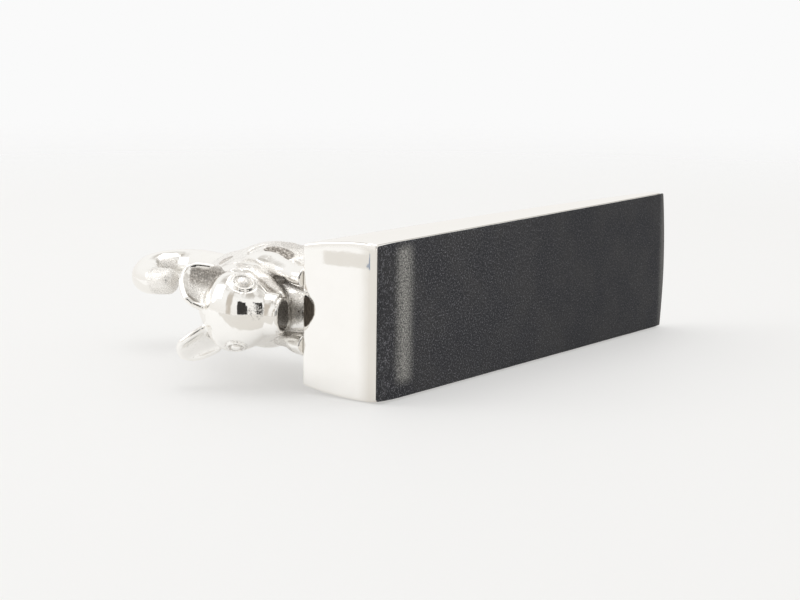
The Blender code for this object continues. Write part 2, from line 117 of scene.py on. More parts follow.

# Painted reflection on the table that the metal mirrors, in millimetres forward and aside, with a gap and a
# corner
SHEET_SLANT = 0.7105
SHEET_SPREAD = 0.0023
SHEET_EDGE = (2.6, 7.4)
SHEET_START = (-2.0, 6.0, 0.55, 1.0)
GAP_SPAN = ((187.0, 190.0), (219.0, 222.0))
GAP_TOP = (17.0, 18.4)
CORNER_SPAN = ((190.0, 192.0), (226.0, 228.0))
CORNER_FOOT = (-3.6, -3.0)
CORNER_SLANT = (190.0, 226.0, 4.4, -0.4)

# Colours
NICKEL_DIM = (0.915, 0.90, 0.87)
NICKEL_BRIGHT = (0.95, 0.938, 0.915)
# Painted dark reflection on the flat face of the snout's disc
PAINTED_DARK_REFLECTION = [(0.38, (0.03, 0.025, 0.02)), (0.62, (0.12, 0.105, 0.09))]
CAST_GREY = [(0.32, (0.30, 0.27, 0.245)), (0.45, (0.72, 0.69, 0.65)), (0.7, (0.93, 0.91, 0.88))]
# Painted shade: the darker grain colours go in deep corners, creases and ear hollows
CAST_DARK_PAINTED_SHADE = [(0.36, (0.08, 0.07, 0.06)), (0.5, (0.32, 0.29, 0.26)), (0.66, (0.78, 0.75, 0.71))]
RUBBER_DARK = (0.017, 0.018, 0.022)
RUBBER_BLACK = (0.027, 0.027, 0.029)
RUBBER_FLECK = (0.20, 0.197, 0.215)
RUBBER_PAINTED_HIGHLIGHT = (0.44, 0.43, 0.40)
ZINC_DIM = (0.55, 0.56, 0.58)
ZINC_BRIGHT = (0.68, 0.68, 0.68)
TABLE_WHITE = (0.90, 0.895, 0.885)
# Colours of the painted reflection on the table, which only glossy rays see
PAINTED_REFLECTION_WHITE = (1.0, 0.995, 0.985)
PAINTED_REFLECTION_BEIGE = (0.80, 0.775, 0.735)
PAINTED_REFLECTION_BLUE = (0.27, 0.32, 0.41)
CARD_BLACK = (0.03, 0.028, 0.026)
BACKDROP = (0.956, 0.956, 0.956)
EVEN_LOW = (0.80, 0.795, 0.785)
EVEN_HIGH = (0.86, 0.86, 0.855)
ROOM_LOW = (0.93, 0.91, 0.88)
ROOM_HIGH = (1.0, 0.995, 0.98)
ROOM_BAND = (0.60, 0.55, 0.49)
ROOM_WALL = (0.50, 0.475, 0.44)
PATCH_DARK = (0.56, 0.53, 0.49)
PATCH_BRIGHT = (0.95, 0.94, 0.92)


# Nodes

def reckoned(operation, swapped=False):
    """A method that works out an operation of a term with another value."""

    def method(term, other):
        pair = (other, term) if swapped else (term, other)
        return term.sheet.math(operation, *pair)

    return method


class Term:
    """A node's output that can be reckoned with as a number can."""

    def __init__(self, sheet, socket):
        self.sheet = sheet
        self.socket = socket

    def __abs__(self):
        return self.sheet.math("ABSOLUTE", self)

    __add__ = reckoned("ADD")
    __radd__ = reckoned("ADD", True)
    __sub__ = reckoned("SUBTRACT")
    __rsub__ = reckoned("SUBTRACT", True)
    __mul__ = reckoned("MULTIPLY")
    __rmul__ = reckoned("MULTIPLY", True)
    __truediv__ = reckoned("DIVIDE")
    __rtruediv__ = reckoned("DIVIDE", True)


class Sheet:
    """A node tree with short ways to add and join its nodes."""

    def __init__(self, tree):
        self.tree = tree
        self.nodes = tree.nodes
        self.links = tree.links

    def node(self, kind, inputs=None, **settings):
        """Adds a node; inputs says what feeds each of its named or numbered inputs."""
        node = self.nodes.new(kind)
        for name, value in settings.items():
            setattr(node, name, value)
        self.feed_all(node, inputs or {})
        return node

    def out(self, node, key=0):
        return Term(self, node.outputs[key])

    def feed(self, socket, value):
        """Gives an input a number, a colour, a term, or a node's first output."""
        if isinstance(value, bpy.types.Node):
            value = self.out(value)
        if isinstance(value, Term):
            self.links.new(value.socket, socket)
        else:
            socket.default_value = value

    def feed_all(self, node, inputs):
        for key, value in inputs.items():
            self.feed(node.inputs[key], value)

    def math(self, operation, *values):
        return self.out(self.node("ShaderNodeMath", dict(enumerate(values)), operation=operation))

    def lower(self, a, b):
        return self.math("MINIMUM", a, b)

    def higher(self, a, b):
        return self.math("MAXIMUM", a, b)

    def vector(self, operation, inputs):
        return self.out(self.node("ShaderNodeVectorMath", inputs, operation=operation))

    def point(self, x, y, z):
        return self.out(self.node("ShaderNodeCombineXYZ", {0: x, 1: y, 2: z}))

    def parts(self, vector):
        node = self.node("ShaderNodeSeparateXYZ", {0: vector})
        return [self.out(node, key) for key in range(3)]

    def between(self, value, low, high, out_low=0.0, out_high=1.0):
        """A value moved smoothly from one range to another, and held at its ends."""
        node = self.node("ShaderNodeMapRange", {
            "Value": value, "From Min": low, "From Max": high, "To Min": out_low, "To Max": out_high,
        }, clamp=True, interpolation_type="SMOOTHSTEP")
        return self.out(node, "Result")

    def window(self, value, rise, fall):
        """1 between a rise and a fall, each told by its start and its end."""
        return self.between(value, *rise) * self.between(value, *fall, 1.0, 0.0)

    def mix(self, factor, first, second):
        """Two colours mixed, each a term or red, green and blue."""
        colours = [(*c, 1.0) if isinstance(c, tuple) else c for c in (first, second)]
        node = self.node("ShaderNodeMix", data_type="RGBA")
        self.feed_all(node, {"Factor": factor, 6: colours[0], 7: colours[1]})
        return self.out(node, 2)

    def ramp(self, value, stops):
        """A colour ramp from pairs of place and colour."""
        node = self.node("ShaderNodeValToRGB", {"Fac": value})
        elements = node.color_ramp.elements
        while len(elements) < len(stops):
            elements.new(0.5)
        for element, (place, colour) in zip(elements, stops):
            element.position = place
            element.color = (*colour, 1.0)
        return self.out(node, "Color")

    def grain(self, where, size, detail=3.0, roughness=0.55):
        """Noise whose spots are about the given size."""
        return self.out(self.node("ShaderNodeTexNoise", {
            "Vector": where, "Scale": 1.0 / size, "Detail": detail, "Roughness": roughness,
        }), "Fac")

    def lumps(self, where, seed, scale, detail):
        """Noise with a seed, for a slightly uneven surface: half below nothing, half above."""
        return self.out(self.node("ShaderNodeTexNoise", {
            "Vector": where, "W": seed, "Scale": scale, "Detail": detail,
        }, noise_dimensions="4D"), "Fac") - 0.5

    def stretched(self, where, scale):
        return self.out(self.node("ShaderNodeMapping", {"Vector": where, "Scale": scale}))


def put(name, data):
    """Adds an object to the scene."""
    thing = bpy.data.objects.new(name, data)
    bpy.context.scene.collection.objects.link(thing)
    return thing


# Materials

def new_material(name):
    material = bpy.data.materials.new(name)
    material.use_nodes = True
    sheet = Sheet(material.node_tree)
    where = sheet.out(sheet.node("ShaderNodeTexCoord"), "Object")
    return material, sheet, sheet.nodes["Principled BSDF"], where


def bump(sheet, shader, height, depth):
    node = sheet.node("ShaderNodeBump", {"Strength": 1.0, "Distance": depth, "Height": height})
    sheet.feed(shader.inputs["Normal"], sheet.out(node, "Normal"))


def kept_value(sheet, name):
    """A value that a mesh keeps at each of its points."""
    return sheet.out(sheet.node("ShaderNodeAttribute", attribute_name=name), "Fac")


def wheel_lines(sheet, where):
    """Fine lines that the polishing wheel leaves across the part."""
    return sheet.grain(sheet.stretched(where, (1.0, 14.0, 1.0)), 2.2 * MM, 2.0, 0.7)


def plain_nickel_material():
    """Nickel plate polished all over, on the wedge."""
    material, sheet, shader, where = new_material("nickel_polished")
    lines = wheel_lines(sheet, where)
    broad = sheet.grain(where, 6.0 * MM, 2.0)
    sheet.feed_all(shader, {
        "Base Color": sheet.mix(broad, NICKEL_DIM, NICKEL_BRIGHT),
        "Metallic": 1.0,
        "Roughness": sheet.between(lines, 0.3, 0.7, 0.015, 0.03),
    })
    bump(sheet, shader, lines * 0.012, 0.12 * MM)
    return material


def cast_nickel_material():
    """Nickel plate on a casting: its grain is left where the wheel doesn't reach.

    The mesh keeps how far that is, and the same value paints shade darker in deep corners, creases, ear
    hollows and on the side towards the table; it also keeps where a dark reflection is painted on the snout
    disc's face.
    """
    material, sheet, shader, where = new_material("nickel_cast")
    lines = wheel_lines(sheet, where)
    fine = sheet.grain(where, 0.45 * MM, 4.0, 0.6)
    broad = sheet.grain(where, 6.0 * MM, 2.0)
    uneven = sheet.grain(where, 2.6 * MM, 1.5, 0.4)
    grain_and_shade = kept_value(sheet, "grain_and_shade")
    grainy = sheet.between(grain_and_shade + (fine - 0.5) * 0.9, 0.42, 0.86)
    # Painted shade: where the value is high, the grain takes the darker colours
    deep = sheet.between(grain_and_shade, 0.62, 0.95)
    polish = sheet.mix(broad, NICKEL_DIM, NICKEL_BRIGHT)
    # Painted dark reflection: the snout disc's flat face is made dark
    polish = sheet.mix(kept_value(sheet, "painted_dark_reflection"), polish, sheet.ramp(lines, PAINTED_DARK_REFLECTION))
    dull_and_shaded = sheet.mix(deep, sheet.ramp(fine, CAST_GREY), sheet.ramp(fine, CAST_DARK_PAINTED_SHADE))
    smooth = sheet.between(lines, 0.3, 0.7, 0.05, 0.10)
    coarse = sheet.between(fine, 0.3, 0.7, 0.30, 0.48)
    sheet.feed_all(shader, {
        "Base Color": sheet.mix(grainy, polish, dull_and_shaded),
        "Metallic": 1.0,
        "Roughness": smooth * (1.0 - grainy) + coarse * grainy,
    })
    bump(sheet, shader, fine * grainy + lines * 0.012 + uneven * 0.8, 0.12 * MM)
    return material


def rubber_material():
    """Matt black rubber sheet with a fine pale fleck, and a painted grey highlight along the bend at its heel
    and at its toe.
    """
    material, sheet, shader, where = new_material("speckled_rubber")
    fleck = sheet.grain(where, 0.46 * MM, 3.0, 0.85)
    dust = sheet.grain(where, 0.85 * MM, 3.0, 0.65)
    mottle = sheet.grain(where, 16.0 * MM, 3.0)
    across, along = sheet.parts(where)[:2]
    back = along - END_Y * MM
    base = sheet.mix(sheet.between(mottle, 0.35, 0.65), RUBBER_DARK, RUBBER_BLACK)
    share = sheet.between(back, 25.0 * MM, 110.0 * MM, 0.90, 0.42)
    flecked = sheet.mix(sheet.between(fleck, 0.53, 0.63) * share, base, RUBBER_FLECK)
    # Painted highlight where the rubber bends up at the heel, and at the toe
    ridge = sheet.between(abs(back - RIDGE_BACK), *RIDGE_FADE, 1.0, 0.0)
    ridge = ridge * sheet.window(across, *RIDGE_ENDS) * sheet.between(fleck, 0.43, 0.60, 0.15, 1.0)
    toe = sheet.between(LENGTH * MM - back, *TOE_PAINTED_HIGHLIGHT, 1.0, 0.0)
    sheet.feed_all(shader, {
        "Base Color": sheet.mix(sheet.higher(ridge * 0.95, toe * 0.22), flecked, RUBBER_PAINTED_HIGHLIGHT),
        "Roughness": 0.78,
        "Specular IOR Level": 0.35,
    })
    bump(sheet, shader, fleck + dust * 0.8, 0.05 * MM)
    return material


def steel_material():
    """Zinc-plated screw steel with faint turning lines."""
    material, sheet, shader, where = new_material("zinc_screw_steel")
    lines = sheet.grain(sheet.stretched(where, (1.0, 1.0, 12.0)), 1.5 * MM, 2.0, 0.6)
    sheet.feed_all(shader, {
        "Base Color": sheet.mix(sheet.grain(where, 3.0 * MM), ZINC_DIM, ZINC_BRIGHT),
        "Metallic": 1.0,
        "Roughness": sheet.between(lines, 0.3, 0.7, 0.26, 0.42),
    })
    bump(sheet, shader, lines, 0.01 * MM)
    return material


# Trees of Geometry Nodes

def new_tree(name, sizes):
    """A tree whose inputs are a mesh, the named sizes, a seed and a material."""
    tree = bpy.data.node_groups.new(name, "GeometryNodeTree")
    inputs = [("Geometry", "Geometry"), *((size, "Float") for size in sizes),
              ("Seed", "Int"), ("Material", "Material")]
    sockets = {}
    for label, kind in inputs:
        socket = tree.interface.new_socket(label, in_out="INPUT", socket_type="NodeSocket" + kind)
        sockets[label] = socket.identifier
    tree.interface.new_socket("Geometry", in_out="OUTPUT", socket_type="NodeSocketGeometry")
    sheet = Sheet(tree)
    group = sheet.node("NodeGroupInput")
    given = {label: sheet.out(group, label) for label, kind in inputs}
    return sheet, sockets, given


def end_tree(sheet, made, given):
    real = sheet.node("GeometryNodeRealizeInstances", {0: made})
    paint = sheet.node("GeometryNodeSetMaterial", {"Geometry": real, "Material": given["Material"]})
    sheet.node("NodeGroupOutput", {0: paint})


def grown(name, sheet, sockets, values, start=None):
    """Runs a tree on a starting mesh, or an empty one, and returns the result as a plain piece."""
    base = put(name + "_base", start or bpy.data.meshes.new(name + "_base"))
    modifier = base.modifiers.new("grow", "NODES")
    modifier.node_group = sheet.tree
    for key, value in values.items():
        modifier[sockets[key]] = value
    graph = bpy.context.evaluated_depsgraph_get()
    graph.update()
    mesh = bpy.data.meshes.new_from_object(base.evaluated_get(graph))
    bpy.data.objects.remove(base, do_unlink=True)
    mesh.name = name
    mesh.shade_smooth()
    return put(name, mesh)


# Wedge and sole, drawn by one rule

def spaced(s, unit, whole, radius, steps):
    """Moves even steps from -0.5..0.5 out to a half size, so that some lie in each rounded edge."""
    share = 0.5 - EDGE_STEPS / steps
    size = abs(unit)
    plain = s.lower(size, share) / share * (whole - radius)
    extra = s.higher(size - share, 0.0) / (0.5 - share) * radius
    return s.math("SIGN", unit) * (plain + extra)


def end_bends(s, along):
    """How far the underside is bent up: in a straight line at the heel, then eased, and at the toe."""
    steep = HEEL_LIFT / (HEEL_FLAT + (HEEL_BEND - HEEL_FLAT) / 2)
    left = s.higher(HEEL_BEND - along, 0.0)
    straight = HEEL_LIFT - steep * along
    curved = steep * (left * left) / (2 * (HEEL_BEND - HEEL_FLAT))
    in_heel = s.math("LESS_THAN", along, HEEL_FLAT)
    toe = s.higher(along - (LENGTH - TOE_BEND), 0.0) / TOE_BEND
    return in_heel * straight + (1.0 - in_heel) * curved + TOE_LIFT * (toe * toe)


def half_width(s, along, level, inset):
    """Half the wedge's width: barrelled sides, drawn in a little at the low end of the thick end."""
    off = level - WIDEST_LEVEL
    sagitta = SIDE_RADIUS - s.math("SQRT", SIDE_RADIUS ** 2 - off * off)
    draw_along = s.higher(1.0 - along / END_DRAW_LENGTH, 0.0)
    draw_down = s.higher(1.0 - level / END_DRAW_HEIGHT, 0.0)
    drawn = END_DRAW_IN * (draw_along * draw_along * draw_down)
    return (WIDEST_HALF - sagitta) * (1.0 - drawn) - inset


def rule_tree():
    """A block that follows the wedge's plan and sides, with rounded edges and bent-up ends."""
    s, sockets, given = new_tree("wedge_rule", (
        "Lift", "Top Thick End", "Top Thin End", "Top Follows Bend", "Edge Radius", "Inset",
        "Unevenness", "Unevenness Size"))
    radius = given["Edge Radius"]
    unit_x, unit_y, unit_z = s.parts(s.node("GeometryNodeInputPosition"))
    along = spaced(s, unit_y, LENGTH / 2, radius, BLOCK_STEPS[1]) + LENGTH / 2
    bend = end_bends(s, along)
    low = bend + given["Lift"]
    share = along / LENGTH
    plain_top = given["Top Thick End"] * (1.0 - share) + given["Top Thin End"] * share
    high = plain_top + given["Top Follows Bend"] * bend
    level = (high + low) * 0.5 + spaced(s, unit_z, (high - low) * 0.5, radius, BLOCK_STEPS[2])
    half = half_width(s, along, level, given["Inset"])
    across = spaced(s, unit_x, half, radius, BLOCK_STEPS[0])
    room = half - radius
    raw = s.point(across, along, level)
    core = s.point(s.higher(s.lower(across, room), room * -1.0),
                   s.higher(s.lower(along, LENGTH - radius), radius),
                   s.higher(s.lower(level, high - radius), low + radius))
    outward = s.vector("NORMALIZE", {0: s.vector("SUBTRACT", {0: raw, 1: core})})
    wobble = s.lumps(raw, given["Seed"], 1.0 / given["Unevenness Size"], 1.5) * given["Unevenness"]
    offset = s.vector("SCALE", {0: outward, "Scale": radius + wobble})
    x, y, z = s.parts(s.vector("ADD", {0: core, 1: offset}))
    late = s.higher(y - TIP_BOW_START, 0.0) / (LENGTH - TIP_BOW_START)
    wide = x / WIDEST_HALF
    bow = TIP_BOW * (late * (wide * wide))
    block = s.node("GeometryNodeMeshCube", {
        "Vertices X": BLOCK_STEPS[0] + 1, "Vertices Y": BLOCK_STEPS[1] + 1, "Vertices Z": BLOCK_STEPS[2] + 1,
    })
    placed = s.point(x * MM, (y - bow + END_Y) * MM, z * MM)
    moved = s.node("GeometryNodeSetPosition", {"Geometry": s.out(block, "Mesh"), "Position": placed})
    end_tree(s, moved, given)
    return s, sockets


def make_wedge_and_sole(nickel, rubber):
    tree, sockets = rule_tree()
    wedge = grown("wedge_polished", tree, sockets, {
        "Lift": SOLE_THICKNESS + GLUE_LINE, "Top Thick End": THICK_END, "Top Thin End": THIN_END,
        "Top Follows Bend": 0.0, "Edge Radius": CAST_EDGE, "Inset": 0.0,
        "Unevenness": 0.05, "Unevenness Size": 14.0, "Seed": 3, "Material": nickel,
    })
    sole = grown("sole_rubber_sheet", tree, sockets, {
        "Lift": 0.0, "Top Thick End": SOLE_THICKNESS, "Top Thin End": SOLE_THICKNESS,
        "Top Follows Bend": 1.0, "Edge Radius": SOLE_EDGE, "Inset": SOLE_INSET,
        "Unevenness": 0.10, "Unevenness Size": 9.0, "Seed": 8, "Material": rubber,
    })
    return wedge, sole


# Tail, a round bar swept along a path

def tail_tree():
    """A round bar that rises out of the rump and curls forward, thinner to its domed tip."""
    s, sockets, given = new_tree("tail_sweep", ("Root Radius", "Middle Radius", "Tip Radius", "Unevenness"))
    root, middle, tip = given["Root Radius"], given["Middle Radius"], given["Tip Radius"]
    curve = s.node("GeometryNodeMeshToCurve", {"Mesh": given["Geometry"]})
    smooth = s.node("GeometryNodeCurveSplineType", {"Curve": curve}, spline_type="BEZIER")
    handles = s.node("GeometryNodeCurveSetHandles", {"Curve": smooth}, handle_type="AUTO")
    even = s.node("GeometryNodeResampleCurve", {"Curve": handles, "Count": 150})
    factor = s.out(s.node("GeometryNodeSplineParameter"), "Factor")
    body = root + s.lower(factor * 2.0, 1.0) * (middle - root)
    body = body + s.between(factor, TAIL_THINS_FROM, 1.0) * (tip - middle)
    first, last = TAIL_END_DOMES
    near_end = s.higher((factor - (1.0 - last)) / last, 0.0)
    near_start = s.higher((first - factor) / first, 0.0)
    nearest = s.higher(near_end, near_start)
    dome = s.math("SQRT", s.higher(1.0 - nearest * nearest, 0.0004))
    profile = s.node("GeometryNodeCurvePrimitiveCircle", {"Resolution": 56, "Radius": 1.0}, mode="RADIUS")
    sweep = s.node("GeometryNodeCurveToMesh", {
        "Curve": even, "Profile Curve": profile, "Scale": body * dome * MM, "Fill Caps": True,
    })
    lumps = s.lumps(s.node("GeometryNodeInputPosition"), given["Seed"], 150.0, 1.0)
    depth = lumps * (given["Unevenness"] * MM)
    push = s.vector("SCALE", {0: s.node("GeometryNodeInputNormal"), "Scale": depth})
    end_tree(s, s.node("GeometryNodeSetPosition", {"Geometry": sweep, "Offset": push}), given)
    return s, sockets


def make_tail(nickel):
    tree, sockets = tail_tree()
    path = bpy.data.meshes.new("tail_path")
    steps = [(i, i + 1) for i in range(len(TAIL_PATH) - 1)]
    path.from_pydata([place(*stop) for stop in TAIL_PATH], steps, [])
    return grown("tail_curled", tree, sockets, {
        "Root Radius": TAIL_ROOT_RADIUS, "Middle Radius": TAIL_MIDDLE_RADIUS, "Tip Radius": TAIL_TIP_RADIUS,
        "Unevenness": 0.35, "Seed": 5, "Material": nickel,
    }, path)


# Ways to shape the pig: each form is a box round it, and the distance of any places from its surface

def place(x, back, up):
    """A point in metres from millimetres across, back and up."""
    return Vector((x * MM, (END_Y + back) * MM, (THICK_END + up) * MM))


def head_place(along, out, x=0.0):
    """A place on the head: along it from the snout, out to its forehead side."""
    s, c = math.sin(HEAD_TILT), math.cos(HEAD_TILT)
    return x, SNOUT[0] - along * s - out * c, SNOUT[1] + along * c - out * s


def to_head(p):
    """The same places read as across, along and out on the head."""
    s, c = math.sin(HEAD_TILT), math.cos(HEAD_TILT)
    back = p[:, 1] - SNOUT[0]
    up = p[:, 2] - SNOUT[1]
    return np.stack([p[:, 0], up * c - back * s, -back * c - up * s], 1)


def melt(a, b, fillet):
    """Joins two forms with a soft fillet between them."""
    if fillet <= 0:
        return np.minimum(a, b)
    h = np.maximum(fillet - np.abs(a - b), 0.0) / fillet
    return np.minimum(a, b) - h * h * fillet / 4


def carve(a, b, fillet):
    """Takes the second form out of the first, with a soft edge."""
    return -melt(-a, b, fillet)


def rounded_meet(a, b, edge):
    """The part that two forms share, with its edge rounded off."""
    u = np.maximum(a + edge, 0.0)
    v = np.maximum(b + edge, 0.0)
    return np.minimum(np.maximum(a, b) + edge, 0.0) + np.sqrt(u * u + v * v) - edge


def oval_distance(off, radii):
    """About how far places lie outside an oval or ellipsoid, from their offsets on each axis."""
    ratio = np.sqrt(sum((a / r) ** 2 for a, r in zip(off, radii)))
    steep = np.sqrt(sum((a / r ** 2) ** 2 for a, r in zip(off, radii)))
    return ratio * (ratio - 1) / np.maximum(steep, 1e-6)


def facing_axes(facing):
    """Three directions square to each other, the last one the way a form faces."""
    n = np.array(facing, float)
    n /= np.linalg.norm(n)
    a = np.cross(n, [0.0, 0.0, 1.0])
    a /= np.linalg.norm(a)
    return np.stack([a, np.cross(n, a), n], 1)


def ball(centre, radii, tilt=0.0):
    """An ellipsoid, tipped about the line across the pig."""
    c = np.array(centre)
    r = np.array(radii, float)
    turn = -math.radians(tilt)
    sine, cosine = math.sin(turn), math.cos(turn)

    def distance(p):
        x, y, z = (p - c).T
        return oval_distance((x, y * cosine - z * sine, y * sine + z * cosine), r)

    return (c - r.max(), c + r.max()), distance


def eased(stops, steps):
    """More stops on a smooth line through the given ones."""
    s = np.array(stops, float)
    if len(s) < 3:
        return s
    padded = np.vstack([2 * s[0] - s[1], s, 2 * s[-1] - s[-2]])
    rows = []
    for i in range(1, len(s)):
        a, b, c, d = padded[i - 1:i + 3]
        for k in range(steps):
            t = k / steps
            rows.append(0.5 * (2 * b + (c - a) * t + (2 * a - 5 * b + 4 * c - d) * t * t
                               + (3 * b - a - 3 * c + d) * t ** 3))
    rows.append(s[-1])
    return np.array(rows)


def limb(stops, steps=5, trim=None):
    """A bent limb of oval section through stops of across, back, up, half width, half depth.

    On the head it may be trimmed flat, at a distance along from the snout.
    """
    line = eased(stops, steps)
    reach = line[:, 3:5].max()

    def distance(p):
        best = np.full(len(p), FAR)
        for start, end in zip(line, line[1:]):
            axis = end[:3] - start[:3]
            t = np.clip(((p - start[:3]) @ axis) / axis.dot(axis), 0, 1)
            wide, deep = (a + t * (b - a) for a, b in zip(start[3:], end[3:]))
            off = (p - start[:3] - t[:, None] * axis).T
            best = np.minimum(best, oval_distance(off, (wide, deep, deep)))
        if trim is not None:
            best = np.maximum(best, trim - to_head(p)[:, 1])
        return best

    return (line[:, :3].min(0) - reach, line[:, :3].max(0) + reach), distance


def round_limb(stops):
    """A limb of round section, from stops of across, back, up and radius."""
    return limb([(*stop, stop[-1]) for stop in stops])


def curve_weights(t):
    """Weights of three stops for a smooth curve through them."""
    return 2 * (t - 0.5) * (t - 1.0), -4 * t * (t - 1.0), 2 * t * (t - 0.5)


def leaf_sheet(grid):
    """The middle sheet of an ear, through a grid of three rows of three places.

    It gets a little narrower towards its tip. The shares tell where each face lies: from root to
    tip, and from crown side to outer side.
    """
    grid = np.array(grid, float)
    points = []
    for i in range(LEAF_STEPS + 1):
        u = i / LEAF_STEPS
        weights_u = curve_weights(u)
        for j in range(LEAF_STEPS + 1):
            narrow = 1.0 - 0.10 * max(u - 0.72, 0.0) / 0.28
            weights_v = curve_weights(0.5 + (j / LEAF_STEPS - 0.5) * narrow)
            points.append(sum(weights_u[a] * weights_v[b] * grid[a][b] for a in range(3) for b in range(3)))
    faces = []
    shares = []
    row = LEAF_STEPS + 1
    for i in range(LEAF_STEPS):
        for j in range(LEAF_STEPS):
            k = i * row + j
            faces.append((k, k + 1, k + row + 1, k + row))
            shares.append(((i + 0.5) / LEAF_STEPS, (j + 0.5) / LEAF_STEPS))
    return np.array(points), BVHTree.FromPolygons([tuple(q) for q in points], faces), shares


def leaf(grid, rim=0.85, wall=0.65):
    """A thin curved ear with a round rim, and a thinner wall inside the rim."""
    points, tree, shares = leaf_sheet(grid)
    thick = []
    for u, v in shares:
        edge = max(abs(2 * v - 1) ** 5, max(u - 0.7, 0.0) / 0.3)
        thick.append(wall + (rim - wall) * min(edge, 1.0))
    reach = rim + 0.5

    def distance(p):
        found = [tree.find_nearest(tuple(q), 9.0) for q in p]
        return np.array([FAR if f[0] is None else f[3] - thick[f[2]] for f in found])

    return (points.min(0) - reach, points.max(0) + reach), distance


def loop_on(under, centre, facing, radii, wire):
    """An oval loop of wire that lies on the surface of the form under it."""
    c = np.array(centre)
    axes = facing_axes(facing)
    r = np.array(radii)
    reach = r.max() + wire

    def distance(p):
        flat = oval_distance(((p - c) @ axes[:, :2]).T, r)
        over = under(p)
        return np.sqrt(flat * flat + over * over) - wire

    return (c - reach, c + reach), distance


def lens(centre, facing, radii):
    """An eyeball: an ellipsoid turned to face one way."""
    c = np.array(centre)
    axes = facing_axes(facing)
    r = np.array(radii)

    def distance(p):
        return oval_distance(((p - c) @ axes).T, r)

    return (c - r.max(), c + r.max()), distance


def disc(radius, depth, edge):
    """The snout's disc, square to the head, with a rounded rim."""
    c = np.array(head_place(depth / 2, 0.0))

    def distance(p):
        q = to_head(p)
        side = np.sqrt(q[:, 0] ** 2 + q[:, 2] ** 2) - radius
        return rounded_meet(side, np.abs(q[:, 1] - depth / 2) - depth / 2, edge)

    return (c - radius - 2, c + radius + 2), distance


# Pig's forms: lists of a form, its fillet, and whether it is taken away

UPPER_EAR = [
    [(0.3, -11.8, 21.1), (4.5, -5.8, 20.5), (10.3, -5.4, 23.3)],
    [(1.9, -15.0, 23.1), (6.0, -9.2, 25.7), (11.2, -8.0, 27.3)],
    [(3.2, -16.8, 24.4), (7.3, -13.6, 29.1), (10.8, -9.8, 30.0)],
]
LOWER_EAR = [
    [(-3.2, -12.0, 20.9), (-6.5, -6.6, 20.5), (-10.9, -6.2, 23.3)],
    [(-5.3, -15.1, 23.3), (-8.8, -10.2, 26.0), (-13.1, -8.8, 27.5)],
    [(-7.6, -16.8, 26.1), (-10.3, -14.2, 29.5), (-13.2, -11.0, 30.7)],
]

# Folds of the skin, each with stops of across, back, up and radius
FACE_EDGE = [
    (9.6, -1.0, 26.0, 0.3), (10.0, -2.9, 21.9, 0.7), (9.9, -1.9, 20.0, 0.8), (9.5, -0.3, 18.9, 0.8),
    (9.0, -0.3, 17.1, 0.8), (8.3, -0.6, 15.5, 0.8), (7.5, -0.9, 14.0, 0.8), (6.7, -1.2, 12.3, 0.8),
    (5.8, -1.5, 10.6, 0.8), (5.1, -1.7, 8.8, 0.8), (4.8, -1.8, 7.2, 0.7), (4.4, -1.5, 5.6, 0.5),
]
NECK_FOLD = [
    (10.1, 5.5, 28.0, 0.3), (10.4, 6.5, 27.2, 0.7), (10.9, 5.7, 24.9, 0.9), (11.4, 4.3, 21.8, 1.0),
    (11.5, 3.5, 19.5, 0.9), (11.3, 3.1, 17.7, 0.6), (10.8, 2.7, 15.8, 0.3),
]
SHOULDER_LINE = [
    (11.1, 16.6, 31.2, 0.3), (11.6, 18.2, 32.0, 0.8), (12.2, 19.7, 31.9, 0.9), (12.7, 20.7, 31.0, 0.8),
    (13.1, 21.6, 30.0, 0.7), (13.4, 22.6, 28.8, 0.3),
]
FLANK_CREASE = [
    (13.0, 20.0, 28.0, 0.4), (12.8, 19.6, 26.6, 1.1), (12.6, 19.4, 24.6, 1.6), (12.0, 19.0, 22.2, 1.7),
    (11.2, 18.8, 20.0, 1.4), (10.6, 18.4, 17.0, 0.9),
]
HAUNCH_LINE = [
    (13.2, 31.5, 30.5, 0.3), (13.8, 29.0, 28.0, 0.6), (13.7, 28.1, 24.6, 0.7), (13.6, 26.4, 20.6, 0.6),
    (13.2, 25.6, 16.0, 0.3),
]
BACK_FOLD = [
    (8.0, 11.6, 38.4, 0.3), (8.5, 12.4, 37.6, 0.6), (8.9, 13.2, 37.2, 0.7), (9.6, 14.6, 36.7, 0.6),
    (10.2, 16.0, 36.3, 0.3),
]
MOUTH_DOTS = [(7.5, -1.1, 12.9), (7.0, -1.2, 11.9)]

# Eyes: along, out and across on the head, the way they face, and their size
EYES = [
    (9.8, 3.3, 8.8, (0.84, -0.34, -0.43), 1.0),
    (11.4, 4.4, -8.5, (-0.78, -0.54, -0.32), 0.78),
]


def added(form, fillet):
    return form, fillet, False


def taken(form, fillet):
    return form, fillet, True


def trunk_and_neck():
    trunk = limb([
        (0, 5.0, 14.0, 6.6, 6.0), (0, 8.2, 18.5, 9.4, 9.8), (0, 12.6, 23.6, 10.6, 12.6),
        (0, 17.5, 29.5, 10.9, 14.2), (0, 22.4, 35.4, 10.9, 13.6),
        (0, 26.4, 40.4, 10.2, 11.4), (0, 29.0, 43.8, 8.0, 8.4),
    ])
    neck = limb([(0, 10.0, 27.0, 10.2, 10.4), (0, 3.0, 25.0, 10.2, 9.6), (0, -2.2, 21.8, 9.6, 7.4)])
    return [added(trunk, 0), added(neck, 2.5)]


def hind_leg(side):
    leg = limb([
        (side * 8.8, 28.4, 12.0, 4.4, 5.6), (side * 8.8, 29.4, 5.0, 3.6, 4.4),
        (side * 8.8, 29.6, 1.0, 3.5, 4.2), (side * 8.9, 29.4, -2.6, 3.7, 4.6),
        (side * 8.9, 29.2, -9.0, 3.7, 4.7),
    ])
    return [
        added(ball((side * 7.8, 26.0, 28.0), (6.0, 10.6, 13.0), -20), 1.8),
        added(ball((side * 8.2, 27.6, 17.0), (5.4, 7.8, 8.8), -8), 1.6),
        added(leg, 1.2),
    ]


